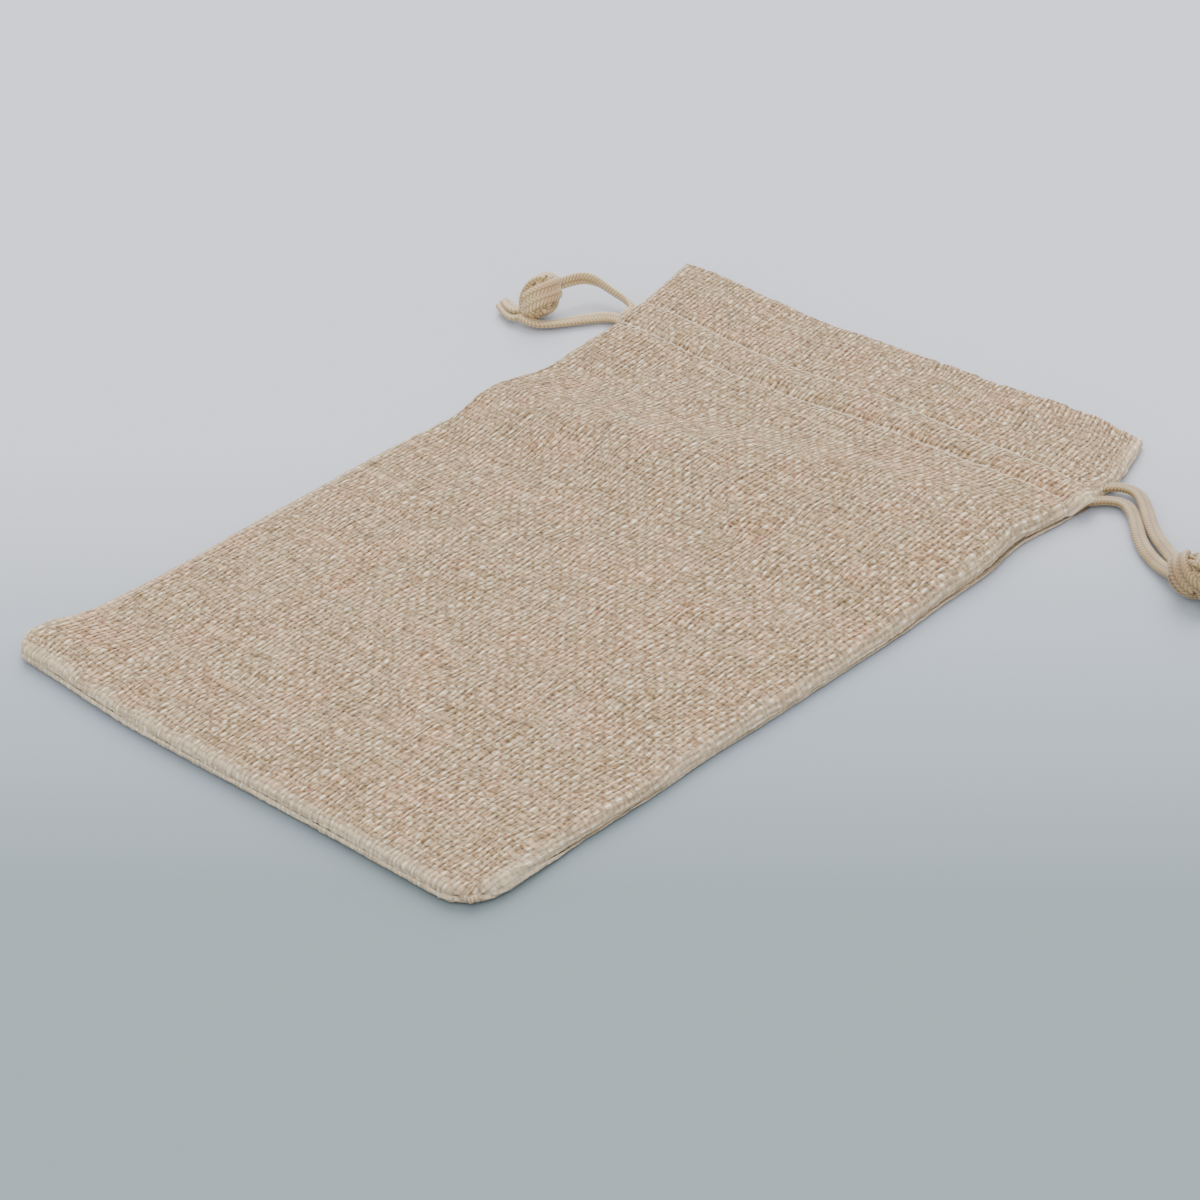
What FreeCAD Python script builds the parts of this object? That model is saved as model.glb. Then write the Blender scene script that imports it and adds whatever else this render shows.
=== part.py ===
import FreeCAD, Part
import math
import os

V = FreeCAD.Vector

# ---- driving dimensions, mm -------------------------------------------------------------
WIDTH = 130.0                 # across the pouch, along X
LENGTH = 180.0                # closed bottom at -Y, mouth at +Y
CORNER_R = 8.0                # bottom corners of the turned-out pouch
CLOTH = 0.8                   # thickness of one layer of cloth
THREAD = 0.2                  # height of a row of sewing thread above the cloth
THREAD_W = 0.5

LOWER_ROW_Y = 61.0            # the two sewn rows, with the cord channel between them
UPPER_ROW_Y = 70.0
ROW_HALF = 0.5                # flat cloth on each side of a sewn row
RAMP = 1.1                    # cloth rising from a sewn row to the top of the channel
HEM_END_Y = 58.5              # cut edge of the cloth that is folded in at the mouth
CROWN_END_Y = 57.0            # the body's puff ends here

ALLOWANCE_W = 7.0             # turned-in seam edges inside the pouch
ALLOWANCE_T = 1.5             # two layers
EDGE_INSET = 1.0              # seam edges lie this far inside the outline

BODY_PUFF = 3.0               # rise of the front panel over the body
RIDGE_PUFF = 1.9              # further rise at the ridge below the channel
RIDGE_Y = 38.0
RIDGE_SPREAD = 13.0

SLIT_X = 61.0                 # the channel's open ends, where the cords come out
HEM_HALF = 63.0
HEM_SLIT_X = 58.0             # the hems stop short of the slits, so the cords can turn there

CORD_D = 2.2                  # free cord
CORD_W = 2.4                  # the same braid pressed flat inside the channel
CORD_T = 1.3
CORD_GAP = 1.4                # height of each half of the channel
LEFT_LANE_Y = 64.1            # the two cords lie side by side in the channel
RIGHT_LANE_Y = 66.9
FIT = 0.05                    # air round a cord in the channel

KNOT_LONG = 11.2
KNOT_WIDE = 7.6

# ---- heights of the layers, mm ----------------------------------------------------------
BACK_HEM_Z = CLOTH
FRONT_HEM_Z = BACK_HEM_Z + CLOTH + THREAD + FIT
FRONT_Z = FRONT_HEM_Z + CLOTH
BACK_RISE = CORD_GAP                       # the back cord lifts the back hem
FRONT_HEM_RISE = BACK_RISE - 0.1
FRONT_RISE = FRONT_HEM_RISE + CORD_GAP     # both cords lift the front panel
BACK_CORD_Z = CLOTH + CORD_GAP / 2
FRONT_CORD_Z = FRONT_HEM_Z + CLOTH + FRONT_HEM_RISE + CORD_GAP / 2

HALF_W = WIDTH / 2
HALF_L = LENGTH / 2

# ---- routes of the free cords, mm: out of the slit, and on to the knot --------------------
LEFT_FRONT_ROUTE = [
    (-61.1, LEFT_LANE_Y, FRONT_CORD_Z), (-65.0, LEFT_LANE_Y, FRONT_CORD_Z), (-69.0, 67.4, 4.3),
    (-73.8, 69.4, 4.8), (-77.2, 66.8, 5.5), (-77.7, 62.8, 6.2)]
LEFT_BACK_ROUTE = [
    (-61.0, LEFT_LANE_Y, BACK_CORD_Z), (-65.2, LEFT_LANE_Y, BACK_CORD_Z), (-68.9, 60.6, 1.15),
    (-71.2, 56.6, 1.15), (-74.4, 53.4, 1.3), (-78.4, 53.6, 2.2)]
RIGHT_FRONT_ROUTE = [
    (61.1, RIGHT_LANE_Y, FRONT_CORD_Z), (65.3, RIGHT_LANE_Y, FRONT_CORD_Z), (69.0, 69.9, 2.9),
    (72.0, 73.2, 1.6), (76.4, 73.6, 1.2), (80.6, 70.6, 1.15), (84.6, 66.4, 1.15),
    (88.8, 62.6, 1.15), (93.8, 59.8, 1.6), (98.6, 57.6, 2.6)]
RIGHT_BACK_ROUTE = [
    (61.0, RIGHT_LANE_Y, BACK_CORD_Z), (65.2, RIGHT_LANE_Y, BACK_CORD_Z), (69.4, 67.3, 1.15),
    (73.4, 69.2, 1.15), (77.6, 67.6, 1.15), (81.2, 64.2, 1.15), (84.8, 60.6, 1.15),
    (89.2, 57.4, 1.15), (94.2, 55.6, 1.4), (99.0, 55.0, 2.2)]

LEFT_KNOT = (-78.0, 58.2, 4.95)
LEFT_KNOT_AXIS = (-0.05, 0.90, 0.43)
RIGHT_KNOT = (103.0, 55.5, 4.0)
RIGHT_KNOT_AXIS = (0.94, -0.32, 0.06)

LEFT_TAILS = [
    [(-79.0, 55.0, 2.6), (-82.6, 52.6, 1.6), (-88.0, 54.2, 1.25)],
    [(-79.8, 56.4, 2.6), (-83.4, 56.4, 1.6), (-87.6, 58.6, 1.25)]]
RIGHT_TAILS = [
    [(106.6, 54.0, 2.6), (111.6, 51.8, 1.5), (116.6, 51.4, 1.25)],
    [(107.0, 55.6, 2.6), (112.2, 56.0, 1.5), (117.2, 58.0, 1.25)]]


# ---- helpers ----------------------------------------------------------------------------
def box(low, high):
    """A block between two corners."""
    size = [h - l for l, h in zip(low, high)]
    return Part.makeBox(size[0], size[1], size[2], V(*low))


def outline_prism(inset, low_z, high_z):
    """The pouch's outline, drawn in by inset, between two heights: round bottom corners."""
    x = HALF_W - inset
    y = HALF_L - inset
    r = CORNER_R - inset
    turn = r * (1 - math.sqrt(0.5))
    edges = [
        Part.LineSegment(V(x, y, 0), V(-x, y, 0)).toShape(),
        Part.LineSegment(V(-x, y, 0), V(-x, r - y, 0)).toShape(),
        Part.Arc(V(-x, r - y, 0), V(turn - x, turn - y, 0), V(r - x, -y, 0)).toShape(),
        Part.LineSegment(V(r - x, -y, 0), V(x - r, -y, 0)).toShape(),
        Part.Arc(V(x - r, -y, 0), V(x - turn, turn - y, 0), V(x, r - y, 0)).toShape(),
        Part.LineSegment(V(x, r - y, 0), V(x, y, 0)).toShape()]
    face = Part.Face(Part.Wire(edges))
    prism = face.extrude(V(0, 0, high_z - low_z))
    prism.translate(V(0, 0, low_z))
    return prism


def slit_notches(inner_x):
    """The blocks cut out at both ends of the channel, from inner_x outwards."""
    low_y = LOWER_ROW_Y + ROW_HALF
    high_y = UPPER_ROW_Y - ROW_HALF
    right = box((inner_x, low_y, -1), (HALF_W + 1, high_y, 10))
    left = box((-HALF_W - 1, low_y, -1), (-inner_x, high_y, 10))
    return right.fuse(left)


def channel_profile(start_y, end_y, base_z, rise, half_x):
    """A layer of cloth over the channel: flat at the sewn rows and raised between them."""
    up = [(start_y, 0), (LOWER_ROW_Y + ROW_HALF, 0), (LOWER_ROW_Y + ROW_HALF + RAMP, rise)]
    down = [(UPPER_ROW_Y - ROW_HALF - RAMP, rise), (UPPER_ROW_Y - ROW_HALF, 0), (end_y, 0)]
    under = [V(-half_x, y, base_z + z) for y, z in up + down]
    over = [p + V(0, 0, CLOTH) for p in reversed(under)]
    face = Part.Face(Part.makePolygon(under + over + [under[0]]))
    return face.extrude(V(2 * half_x, 0, 0))


def smooth(t):
    """0 to 1 with level ends."""
    t = min(1.0, max(0.0, t))
    return t * t * (3 - 2 * t)


def puff(x, y):
    """How far the front panel's body stands above its sewn edges."""
    across = (1 - min(1.0, abs(x) / (HALF_W - 4)) ** 4) ** 2
    bottom = smooth((y + HALF_L - 2) / 24)
    top = smooth((CROWN_END_Y - y) / 17)
    ridge = RIDGE_PUFF * math.exp(-((y - RIDGE_Y) / RIDGE_SPREAD) ** 2)
    return across * bottom * top * (BODY_PUFF + ridge)


def crowned_body():
    """The puffed body of the front panel, from the bottom seam to just below the channel."""
    columns = 21
    rows = 31
    span = CROWN_END_Y + HALF_L
    grid = []
    for i in range(columns):
        x = -HALF_W + WIDTH * i / (columns - 1)
        column = []
        for j in range(rows):
            y = -HALF_L + span * j / (rows - 1)
            column.append(V(x, y, FRONT_Z + puff(x, y)))
        grid.append(column)
    surface = Part.BSplineSurface()
    surface.interpolate(grid)
    return surface.toShape().extrude(V(0, 0, CLOTH))


def flat_braid(x0, x1, y, z):
    """A straight cord pressed flat inside the channel."""
    r = CORD_T / 2
    side = CORD_W / 2 - r
    edges = [
        Part.LineSegment(V(x0, y - side, z - r), V(x0, y + side, z - r)).toShape(),
        Part.Arc(V(x0, y + side, z - r), V(x0, y + side + r, z), V(x0, y + side, z + r)).toShape(),
        Part.LineSegment(V(x0, y + side, z + r), V(x0, y - side, z + r)).toShape(),
        Part.Arc(V(x0, y - side, z + r), V(x0, y - side - r, z), V(x0, y - side, z - r)).toShape()]
    return Part.Face(Part.Wire(edges)), V(x1 - x0, 0, 0)


def cord_run(x0, x1, y, z):
    face, way = flat_braid(x0, x1, y, z)
    return face.extrude(way)


def far_bend(x, y, turn):
    """The cord's half turn from the front channel to the back one, at the other side's slit."""
    face, _ = flat_braid(x, x, y, FRONT_CORD_Z)
    centre_z = (FRONT_CORD_Z + BACK_CORD_Z) / 2
    return face.revolve(V(x, y, centre_z), V(0, turn, 0), 180)


def rounded_path(points, name):
    """Straight runs joined by tangent arcs, each as large as its two runs allow."""
    pts = [V(*p) for p in points]
    edges = []
    radii = []
    start = pts[0]
    for before, corner, after in zip(pts, pts[1:], pts[2:]):
        way_in = (corner - before).normalize()
        way_out = (after - corner).normalize()
        turn = way_in.getAngle(way_out)
        cut = 0.45 * min((corner - before).Length, (after - corner).Length)
        radius = cut / math.tan(turn / 2)
        radii.append(radius)
        first = corner - way_in * cut
        last = corner + way_out * cut
        inward = (way_out - way_in).normalize()
        middle = corner + inward * (radius / math.cos(turn / 2) - radius)
        edges.append(Part.LineSegment(start, first).toShape())
        edges.append(Part.Arc(first, middle, last).toShape())
        start = last
    edges.append(Part.LineSegment(start, pts[-1]).toShape())
    print(name, "bend radii", [round(r, 1) for r in radii])
    return Part.Wire(edges)


def tube(points, name):
    """A free cord of round section along its route."""
    path = rounded_path(points, name)
    first = V(*points[0])
    way = V(*points[1]) - first
    ring = Part.Wire(Part.Circle(first, way, CORD_D / 2).toShape())
    solid = path.makePipeShell([ring], True, False)
    expected = math.pi * CORD_D ** 2 / 4 * path.Length
    print(name, "length", round(path.Length, 1), "volume ratio", round(solid.Volume / expected, 3))
    return solid


def knot(centre, axis):
    """An overhand knot's outer shape: a barrel with round ends."""
    way = V(*axis).normalize()
    start = V(*centre) - way * (KNOT_LONG / 2)
    barrel = Part.makeCylinder(KNOT_WIDE / 2, KNOT_LONG, start, way)
    ends = [e for e in barrel.Edges if isinstance(e.Curve, Part.Circle)]
    return barrel.makeFillet(0.36 * KNOT_WIDE, ends)


# ---- cloth ------------------------------------------------------------------------------
def back_panel():
    return outline_prism(0, 0, CLOTH).cut(slit_notches(SLIT_X))


def front_panel():
    body = crowned_body()
    head = channel_profile(CROWN_END_Y, HALF_L, FRONT_Z, FRONT_RISE, HALF_W)
    panel = body.fuse(head).removeSplitter()
    panel = panel.common(outline_prism(0, 0, 20))
    return panel.cut(slit_notches(SLIT_X))


def hem(base_z, rise):
    end = HALF_L - EDGE_INSET / 2
    return channel_profile(HEM_END_Y, end, base_z, rise, HEM_HALF).cut(slit_notches(HEM_SLIT_X))


def side_allowance(side):
    outer = HALF_W - EDGE_INSET
    inner = outer - ALLOWANCE_W
    strip = box((inner, -HALF_L, CLOTH), (outer, HEM_END_Y - 0.5, CLOTH + ALLOWANCE_T))
    if side < 0:
        strip = strip.mirror(V(0, 0, 0), V(1, 0, 0))
    return strip.common(outline_prism(EDGE_INSET, 0, 10))


def bottom_allowance():
    half = HALF_W - EDGE_INSET - ALLOWANCE_W - THREAD_W
    low = -HALF_L + EDGE_INSET
    return box((-half, low, CLOTH), (half, low + ALLOWANCE_W, CLOTH + ALLOWANCE_T))


# ---- thread -----------------------------------------------------------------------------
def channel_row(y, z, half_x):
    return box((-half_x, y - THREAD_W / 2, z), (half_x, y + THREAD_W / 2, z + THREAD))


def side_thread(side):
    """The side seam's thread: one length below the slit and one above it."""
    x = side * (HALF_W - 3)
    low_x = x - THREAD_W / 2
    high_x = x + THREAD_W / 2
    z = CLOTH + ALLOWANCE_T
    body = box((low_x, CORNER_R - HALF_L, z), (high_x, HEM_END_Y - 1, z + THREAD))
    hem_z = BACK_HEM_Z + CLOTH
    head = box((low_x, UPPER_ROW_Y + 1, hem_z), (high_x, HALF_L - 1.5, hem_z + THREAD))
    return Part.makeCompound([body, head])


def bottom_thread():
    half = HALF_W - EDGE_INSET - ALLOWANCE_W - 1
    y = -HALF_L + 3
    z = CLOTH + ALLOWANCE_T
    return box((-half, y - THREAD_W / 2, z), (half, y + THREAD_W / 2, z + THREAD))


def side_overlock(side):
    outer = HALF_W - EDGE_INSET - ALLOWANCE_W
    top = CLOTH + ALLOWANCE_T
    low_y = -HALF_L + EDGE_INSET + ALLOWANCE_W + THREAD_W
    strip = box((outer - THREAD_W, low_y, CLOTH), (outer, HEM_END_Y - 0.5, top))
    if side < 0:
        strip = strip.mirror(V(0, 0, 0), V(1, 0, 0))
    return strip


def bottom_overlock():
    half = HALF_W - EDGE_INSET - ALLOWANCE_W - THREAD_W
    low = -HALF_L + EDGE_INSET + ALLOWANCE_W
    return box((-half, low, CLOTH), (half, low + THREAD_W, CLOTH + ALLOWANCE_T))


# ---- cords ------------------------------------------------------------------------------
def cord_nodes(name, side, lane_y, routes, knot_place, knot_axis, tails):
    """One cord: its runs in both halves of the channel, its far turn, loop, knot and ends."""
    slit = side * SLIT_X
    far = -side * (HEM_SLIT_X + 0.2)
    runs = {
        name + "_front_run": cord_run(slit, far, lane_y, FRONT_CORD_Z),
        name + "_back_run": cord_run(slit, far, lane_y, BACK_CORD_Z),
        name + "_far_bend": far_bend(far, lane_y, -side)}
    free = {
        name + "_front_strand": tube(routes[0], name + "_front_strand"),
        name + "_back_strand": tube(routes[1], name + "_back_strand"),
        name + "_knot": knot(knot_place, knot_axis),
        name + "_tails": Part.makeCompound([tube(t, name + "_tail") for t in tails])}
    return {**runs, **free}


def nodes():
    row_z = FRONT_Z + CLOTH
    hem_top = BACK_HEM_Z + CLOTH
    row_half = SLIT_X - 0.5
    made = {
        "back_panel": back_panel(),
        "front_panel": front_panel(),
        "back_hem": hem(BACK_HEM_Z, BACK_RISE),
        "front_hem": hem(FRONT_HEM_Z, FRONT_HEM_RISE),
        "bottom_seam_allowance": bottom_allowance(),
        "bottom_stitch": bottom_thread(),
        "bottom_overlock": bottom_overlock(),
        "front_channel_stitch_lower": channel_row(LOWER_ROW_Y, row_z, row_half),
        "front_channel_stitch_upper": channel_row(UPPER_ROW_Y, row_z, row_half),
        "back_channel_stitch_lower": channel_row(LOWER_ROW_Y, hem_top, row_half),
        "back_channel_stitch_upper": channel_row(UPPER_ROW_Y, hem_top, row_half)}
    for name, side in (("left", -1), ("right", 1)):
        made[name + "_seam_allowance"] = side_allowance(side)
        made[name + "_side_stitch"] = side_thread(side)
        made[name + "_overlock"] = side_overlock(side)
    made.update(cord_nodes("left_cord", -1, LEFT_LANE_Y, (LEFT_FRONT_ROUTE, LEFT_BACK_ROUTE),
                           LEFT_KNOT, LEFT_KNOT_AXIS, LEFT_TAILS))
    made.update(cord_nodes("right_cord", 1, RIGHT_LANE_Y, (RIGHT_FRONT_ROUTE, RIGHT_BACK_ROUTE),
                           RIGHT_KNOT, RIGHT_KNOT_AXIS, RIGHT_TAILS))
    return made


os.makedirs("parts", exist_ok=True)
for node, shape in nodes().items():
    extent = shape.optimalBoundingBox()
    print(node, "solids", len(shape.Solids), "z", round(extent.ZMin, 2), round(extent.ZMax, 2))
    shape.exportStep("parts/" + node + ".step")
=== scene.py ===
import math

import bpy
import numpy as np
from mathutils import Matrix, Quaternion, Vector


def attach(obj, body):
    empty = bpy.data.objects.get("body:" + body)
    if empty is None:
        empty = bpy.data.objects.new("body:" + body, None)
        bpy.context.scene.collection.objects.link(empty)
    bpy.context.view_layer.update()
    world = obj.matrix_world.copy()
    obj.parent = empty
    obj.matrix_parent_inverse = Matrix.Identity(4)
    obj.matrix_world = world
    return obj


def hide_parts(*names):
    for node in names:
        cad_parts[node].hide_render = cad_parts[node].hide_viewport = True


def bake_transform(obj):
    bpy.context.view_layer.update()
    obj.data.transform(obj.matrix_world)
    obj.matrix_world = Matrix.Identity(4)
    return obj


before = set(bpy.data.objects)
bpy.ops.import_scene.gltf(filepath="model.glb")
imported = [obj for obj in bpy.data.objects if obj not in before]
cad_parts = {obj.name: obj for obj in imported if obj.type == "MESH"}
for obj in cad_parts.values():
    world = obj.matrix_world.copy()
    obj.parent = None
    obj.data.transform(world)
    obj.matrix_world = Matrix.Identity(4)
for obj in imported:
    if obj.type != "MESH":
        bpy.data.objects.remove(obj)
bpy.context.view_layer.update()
MM = 0.001

# ---- the pouch, mm ----------------------------------------------------------------------
PITCH = 1.25                # from one thread of the weave to the next, both ways
HALF_U = 53 * PITCH         # flat cloth, across: whole threads, with the cloth in the side rolls
LOW_V = -73 * PITCH         # flat cloth, along: from the bottom roll
HIGH_V = 73 * PITCH         # to the fold at the mouth
WARP_STANDS = 0.1           # the threads along the pouch stand out more than those across
RELIEF = 0.17               # the front layer's crests and pits stand this far from its middle
BACK_RELIEF = 0.14
INNER_RELIEF = 0.12         # the same for the hems and the seam allowances
PAINTED_EDGE_LIGHT_WIDTH = 4.5            # painted light: the turned edges are painted paler over this width
SEAM_TURN = math.radians(150)   # how far the cloth rolls round at a sewn edge
LEFT_CORNER = 4.5           # radii of the bottom corners
RIGHT_CORNER = 10.0
LOWER_ROW_V = 63.0          # the two sewn rows
UPPER_ROW_V = 72.0
STITCH = 3.1
HEM_END_V = 60.0            # the inner end of the folded-in hems
ALLOWANCE = 7.0
BACK_Z = 0.3
LOW_SEAM_Z = 1.55           # the two layers' rolled edges meet at this height near the bottom
HIGH_SEAM_Z = 0.45          # and here near the mouth, where the front layer hides the back one
BACK_DRAWN_IN = 2.0         # the back layer's sides lie this far behind the front one's there
BACK_HEM_Z = 1.0
ALLOWANCE_Z = 2.1
LOWEST_FRONT = 0.05         # each layer's points are kept at least this far above the floor
LOWEST_BACK = 0.02
# Each sheet of cloth has its own place in the random fields of its threads.
FRONT_LOT, FRONT_HEM_LOT, BACK_HEM_LOT, BACK_LOT, ALLOWANCE_LOT = 0.0, 20.0, 30.0, 40.0, 60.0

# Seen from above: how far the worn, slightly pulled outline lies from a true rectangle.
LEFT_PLACES = [(-91, -65.8), (-60, -62.6), (-30, -61.4), (0, -60.4), (16, -59.2), (28, -59.5),
               (42, -57.9), (52, -58.6), (62, -59.0), (72, -60.9), (82, -63.2), (91, -65.4)]
RIGHT_PLACES = [(-91, 66.0), (-74, 66.5), (-58, 67.6), (-46, 68.0), (-34, 67.8), (-20, 68.5),
                (3, 69.0), (16, 69.3), (28, 68.9), (40, 68.8), (50, 67.2), (62, 68.6), (74, 68.6),
                (82, 66.0), (91, 61.4)]
# How far the bottom edge and the mouth are drawn down, across the pouch.
BOTTOM_DROPS = [(-66, 2.0), (-54, 2.4), (-38, 3.3), (-8, 3.3), (10, 2.8), (35, 2.4), (66, 2.1)]
MOUTH_DROPS = [(-66, 1.5), (-56, 1.5), (-38, 2.8), (-12, 3.4), (6, 2.2), (24, 1.4), (40, 0.6),
               (56, 0.2), (66, 0.9)]
# Heights of the front layer's two side edges.
LEFT_HEIGHTS = [(-91, 3.2), (-20, 3.1), (12, 3.2), (28, 4.2), (42, 3.5), (60, 3.6), (72, 3.4),
                (91, 2.4)]
RIGHT_HEIGHTS = [(-91, 3.2), (-20, 3.1), (20, 2.9), (42, 3.0), (56, 3.3), (66, 4.0), (74, 2.7),
                 (84, 2.0), (91, 1.7)]
# Height of the front layer along the middle of the pouch, without its ridge.
MIDDLE_HEIGHTS = [(-91, 3.2), (-84, 3.9), (-70, 4.6), (-20, 4.8), (30, 4.4), (50, 3.6), (62, 3.7),
                  (67, 4.3), (73, 3.8), (91, 2.5)]

# ---- the cords, mm ----------------------------------------------------------------------
CORD_W = 2.75
CORD_T = 1.35
BRAID_PITCH = 0.8           # from one slanting stitch of the braid to the next
BRAID_SLANT = 1.3
CORD_FLAT = 1.3             # height of a cord's middle inside the channel
LEFT_LANE, SPARE_LANE, RIGHT_LANE = 62.9, 65.5, 68.1    # where cord lies along the channel
STRAND_START_X = 47.0       # the free strands start here, inside their slit
BEND_X = 57.5               # and each cord turns back here, at the other slit
SPARE_END_X = 13.0
LEFT_FRONT_ROUTE = [
    (-46.0, 65.5, CORD_FLAT), (-54.0, 65.7, CORD_FLAT), (-58.8, 67.6, 1.6), (-63.4, 69.5, 2.4),
    (-68.6, 69.5, 3.4), (-73.6, 70.0, 4.2), (-77.0, 67.6, 5.0), (-77.9, 60.8, 5.4)]
LEFT_BACK_ROUTE = [
    (-46.0, 62.9, CORD_FLAT), (-55.0, 62.9, CORD_FLAT), (-60.0, 64.6, 1.25), (-64.4, 64.0, 1.1),
    (-68.4, 59.6, 1.05), (-71.6, 55.4, 1.05), (-75.0, 52.4, 1.1), (-78.4, 52.4, 2.0)]
RIGHT_FRONT_ROUTE = [
    (47.0, 68.1, CORD_FLAT), (56.0, 68.1, CORD_FLAT), (61.5, 68.6, 1.6), (65.4, 70.2, 1.8),
    (69.2, 74.2, 1.6), (73.4, 75.0, 1.3), (77.6, 72.2, 1.15), (81.8, 68.4, 1.1),
    (86.4, 65.0, 1.1), (91.4, 62.2, 1.4), (95.6, 59.6, 2.3), (99.4, 57.4, 3.2)]
RIGHT_BACK_ROUTE = [
    (47.0, 65.5, CORD_FLAT), (56.0, 65.5, CORD_FLAT), (62.0, 65.6, 1.4), (66.8, 66.0, 1.3),
    (69.6, 69.4, 1.15), (73.6, 71.0, 1.05), (77.8, 68.6, 1.05), (81.2, 65.4, 1.05),
    (84.8, 62.2, 1.05), (89.0, 59.6, 1.05), (93.6, 57.6, 1.3), (98.6, 55.8, 2.4)]
LEFT_KNOT = (-77.8, 57.8, 4.8)
LEFT_KNOT_AXIS = (-0.05, 0.90, 0.43)
RIGHT_KNOT = (103.0, 55.5, 4.5)
RIGHT_KNOT_AXIS = (0.94, -0.32, 0.06)
FIBRES = 22                 # loose fibres at each cut end
FIBRE_W = 0.13
LEFT_TAILS = [
    [(-78.2, 54.4, 2.6), (-79.4, 51.8, 1.4), (-83.8, 52.4, 1.1), (-87.2, 54.0, 1.1)],
    [(-78.8, 55.4, 2.8), (-80.6, 53.2, 2.4), (-84.0, 53.6, 2.0), (-86.8, 55.2, 1.6)]]
RIGHT_TAILS = [
    [(106.6, 54.0, 3.0), (110.2, 52.4, 1.7), (113.4, 51.2, 1.2), (115.8, 51.2, 1.15)],
    [(107.0, 55.2, 2.6), (110.6, 55.4, 1.4), (113.6, 56.4, 1.15), (116.0, 57.8, 1.15)]]

# ---- the camera -------------------------------------------------------------------------
CAMERA_PLACE = (517.9, -410.8, 419.8)
CAMERA_AZIMUTH = 51.64
CAMERA_ELEVATION = 33.09
CAMERA_ROLL = 9.0
CAMERA_LENS = 121.1

# ---- light ------------------------------------------------------------------------------
WORLD_TINT = (0.93, 0.96, 1.0, 1)
WORLD_STRENGTH = 1.42
# Name, place that it shines from, strength, softness in degrees, tint.
SUNS = [("key", (-0.55, 0.62, 0.75), 3.8, 46, (1.0, 0.985, 0.96)),
        ("fill", (0.9, -0.7, 0.9), 1.25, 60, (0.95, 0.97, 1.0))]
FLOOR_Z = -0.0002
# Painted light: the floor's colour lightens along this way, from FLOOR_START over FLOOR_FADE.
FLOOR_BACK = (-0.588, 0.809)    # the way to the back of the studio
FLOOR_START, FLOOR_FADE = 0.105, 0.145


# ---- small tools ------------------------------------------------------------------------
def make_camera():
    a, e = math.radians(CAMERA_AZIMUTH), math.radians(CAMERA_ELEVATION)
    back = Vector((math.sin(a) * math.cos(e), -math.cos(a) * math.cos(e), math.sin(e)))
    camera = bpy.data.objects.new("camera", bpy.data.cameras.new("camera"))
    bpy.context.scene.collection.objects.link(camera)
    camera.location = Vector(CAMERA_PLACE) * MM
    camera.rotation_mode = "QUATERNION"
    level = (-back).to_track_quat("-Z", "Y")
    camera.rotation_quaternion = level @ Quaternion((0, 0, 1), math.radians(-CAMERA_ROLL))
    camera.data.sensor_width = 36
    camera.data.lens = CAMERA_LENS
    camera.data.clip_start = 0.01
    bpy.context.scene.camera = camera


def curve_through(places):
    """A smooth function through a few (place, value) pairs."""
    xs, ys = np.array(places, float).T
    slopes = np.gradient(ys, xs)

    def value(x):
        x = np.clip(x, xs[0], xs[-1])
        i = np.clip(np.searchsorted(xs, x, side="right") - 1, 0, len(xs) - 2)
        h = xs[i + 1] - xs[i]
        t = (x - xs[i]) / h
        start = (1 + 2 * t) * (1 - t) ** 2 * ys[i] + t * (1 - t) ** 2 * h * slopes[i]
        end = t * t * (3 - 2 * t) * ys[i + 1] + t * t * (t - 1) * h * slopes[i + 1]
        return start + end
    return value


def unit(vectors):
    return vectors / np.linalg.norm(vectors, axis=-1, keepdims=True)


def smooth(t):
    t = np.clip(t, 0, 1)
    return t * t * (3 - 2 * t)


def bump(x, middle, spread):
    return np.exp(-((x - middle) / spread) ** 2)


def ripples(seed, shortest, longest, count=14):
    """A soft random field over the cloth, about -1 to 1, with waves between two lengths in mm."""
    rng = np.random.default_rng(seed)
    waves = []
    for _ in range(count):
        length = rng.uniform(shortest, longest)
        turn = rng.uniform(0, math.pi)
        phase = rng.uniform(0, 2 * math.pi)
        waves.append((2 * math.pi * math.cos(turn) / length,
                      2 * math.pi * math.sin(turn) / length, phase))

    def value(u, v):
        total = sum(np.sin(a * u + b * v + p) for a, b, p in waves)
        return total / math.sqrt(count)
    return value


def new_mesh(name, points_mm, faces):
    mesh = bpy.data.meshes.new(name)
    mesh.from_pydata((np.asarray(points_mm) * MM).tolist(), [], faces)
    mesh.polygons.foreach_set("use_smooth", [True] * len(mesh.polygons))
    piece = bpy.data.objects.new(name, mesh)
    bpy.context.scene.collection.objects.link(piece)
    return piece


def grid_faces(rows, columns, wrap=False, start=0):
    """Faces over a grid of points held row by row. wrap joins the last column to the first."""
    i = np.arange(rows - 1)[:, None] * columns
    j = np.arange(columns if wrap else columns - 1)[None, :]
    k = (j + 1) % columns
    quads = np.stack([i + j, i + k, i + columns + k, i + columns + j], -1) + start
    return quads.reshape(-1, 4).tolist()


def set_attribute(piece, name, values):
    """A vector at each point of a mesh, for its material to read."""
    attribute = piece.data.attributes.new(name, "FLOAT_VECTOR", "POINT")
    attribute.data.foreach_set("vector", np.asarray(values, np.float32).ravel())


def finish_piece(piece, nodes, body, material):
    """Gives a piece its material, hides its CAD nodes, and attaches it to its body. A piece of the
    body
    "lens" is not attached; its transform is baked into its mesh."""
    piece.data.materials.append(material)
    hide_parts(*nodes)
    if body == "lens":
        lift_middle(piece)
    else:
        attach(piece, body)
    return piece


def lift_middle(piece):
    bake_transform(piece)


# ---- the cloth's shape ------------------------------------------------------------------
left_place = curve_through(LEFT_PLACES)
right_place = curve_through(RIGHT_PLACES)
left_height = curve_through(LEFT_HEIGHTS)
right_height = curve_through(RIGHT_HEIGHTS)
middle_height = curve_through(MIDDLE_HEIGHTS)
bottom_drop = curve_through(BOTTOM_DROPS)
mouth_drop = curve_through(MOUTH_DROPS)
wide_wave = ripples(7, 38, 80)
small_wave = ripples(11, 9, 24)


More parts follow.
